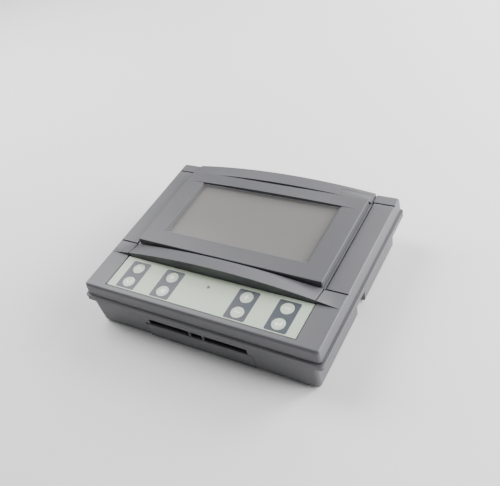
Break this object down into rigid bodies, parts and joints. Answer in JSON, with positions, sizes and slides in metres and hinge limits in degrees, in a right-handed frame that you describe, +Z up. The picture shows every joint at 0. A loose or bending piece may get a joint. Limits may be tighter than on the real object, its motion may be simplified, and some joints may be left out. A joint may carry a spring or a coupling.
{
  "type": "operator terminal with display and keypad",
  "caption": "Desk terminal: a grey moulded case with a large recessed display window, a sunk film keypad with round press keys, front slots and a pull-out connector cover.",
  "frame": {"origin": "middle of the case's footprint, on the surface that the feet stand on", "axes": "+X to the right seen from the keypad side, +Y from the keypad edge to the rear, +Z up out of the display"},
  "size_m": [0.255, 0.1958, 0.062],
  "materials": {
    "case_top_plastic": "fine-textured mid-grey moulded plastic",
    "case_base_plastic": "fine-textured mid-grey moulded plastic",
    "plate_plastic": "smooth grey insert, bare",
    "keypad_film": "pale green-grey printed polyester film",
    "key_cap": "pale raised key, satin",
    "black_plastic": "black moulded plastic",
    "terminal_plastic": "green moulded terminal block",
    "circuit_board": "green solder mask",
    "screw_steel": "zinc-plated steel",
    "black_rubber": "matt black rubber",
    "display_window": "clear acrylic display window",
    "lcd_glass": "unlit liquid-crystal panel, warm grey",
    "lcd_frame_steel": "pressed steel frame",
    "backlight_plastic": "white light guide",
    "ribbon_plastic": "grey ribbon cable",
    "flex_plastic": "amber flexible circuit",
    "led_resin": "unlit red resin"
  },
  "bodies": {
    "case": {"backlight_panel": "backlight_plastic", "blank_plate": "plate_plastic", "buzzer": "black_plastic", "cable_grommet": "black_rubber", "case_gasket": "black_rubber", "case_screw_1": "screw_steel", "case_screw_2": "screw_steel", "case_screw_3": "screw_steel", "case_screw_4": "screw_steel", "display_bezel": "case_top_plastic", "display_board": "circuit_board", "display_board_screw_1": "screw_steel", "display_board_screw_2": "screw_steel", "display_board_screw_3": "screw_steel", "display_board_screw_4": "screw_steel", "display_ribbon": "ribbon_plastic", "display_window": "display_window", "foot_1": "black_rubber", "foot_2": "black_rubber", "foot_3": "black_rubber", "foot_4": "black_rubber", "keypad_board": "circuit_board", "keypad_board_screw_1": "screw_steel", "keypad_board_screw_2": "screw_steel", "keypad_board_screw_3": "screw_steel", "keypad_board_screw_4": "screw_steel", "keypad_film": "keypad_film", "keypad_tail": "flex_plastic", "lcd_frame": "lcd_frame_steel", "lcd_glass": "lcd_glass", "lower_housing": "case_base_plastic", "main_board": "circuit_board", "main_board_screw_1": "screw_steel", "main_board_screw_2": "screw_steel", "main_board_screw_3": "screw_steel", "main_board_screw_4": "screw_steel", "power_module": "black_plastic", "service_connector": "black_plastic", "status_led": "led_resin", "switch_back": "black_plastic", "switch_dash": "black_plastic", "switch_down": "black_plastic", "switch_enter": "black_plastic", "switch_minus": "black_plastic", "switch_next": "black_plastic", "switch_plus": "black_plastic", "switch_up": "black_plastic", "terminal_block": "terminal_plastic", "top_cover": "case_top_plastic"},
    "key_up_body": {"key_up": "key_cap"},
    "key_down_body": {"key_down": "key_cap"},
    "key_next_body": {"key_next": "key_cap"},
    "key_back_body": {"key_back": "key_cap"},
    "key_plus_body": {"key_plus": "key_cap"},
    "key_minus_body": {"key_minus": "key_cap"},
    "key_dash_body": {"key_dash": "key_cap"},
    "key_enter_body": {"key_enter": "key_cap"},
    "connector_cover_body": {"connector_cover": "case_base_plastic"}
  },
  "joints": [
    {"name": "key_up_press", "type": "slide", "parent": "case", "child": "key_up_body", "axis": [0, 0, -1], "range_m": [0, 0.0005], "stiffness_N_per_m": 2000},
    {"name": "key_down_press", "type": "slide", "parent": "case", "child": "key_down_body", "axis": [0, 0, -1], "range_m": [0, 0.0005], "stiffness_N_per_m": 2000},
    {"name": "key_next_press", "type": "slide", "parent": "case", "child": "key_next_body", "axis": [0, 0, -1], "range_m": [0, 0.0005], "stiffness_N_per_m": 2000},
    {"name": "key_back_press", "type": "slide", "parent": "case", "child": "key_back_body", "axis": [0, 0, -1], "range_m": [0, 0.0005], "stiffness_N_per_m": 2000},
    {"name": "key_plus_press", "type": "slide", "parent": "case", "child": "key_plus_body", "axis": [0, 0, -1], "range_m": [0, 0.0005], "stiffness_N_per_m": 2000},
    {"name": "key_minus_press", "type": "slide", "parent": "case", "child": "key_minus_body", "axis": [0, 0, -1], "range_m": [0, 0.0005], "stiffness_N_per_m": 2000},
    {"name": "key_dash_press", "type": "slide", "parent": "case", "child": "key_dash_body", "axis": [0, 0, -1], "range_m": [0, 0.0005], "stiffness_N_per_m": 2000},
    {"name": "key_enter_press", "type": "slide", "parent": "case", "child": "key_enter_body", "axis": [0, 0, -1], "range_m": [0, 0.0005], "stiffness_N_per_m": 2000},
    {"name": "connector_cover_pull", "type": "slide", "parent": "case", "child": "connector_cover_body", "axis": [0, -1, 0], "range_m": [0, 0.014]}
  ]
}
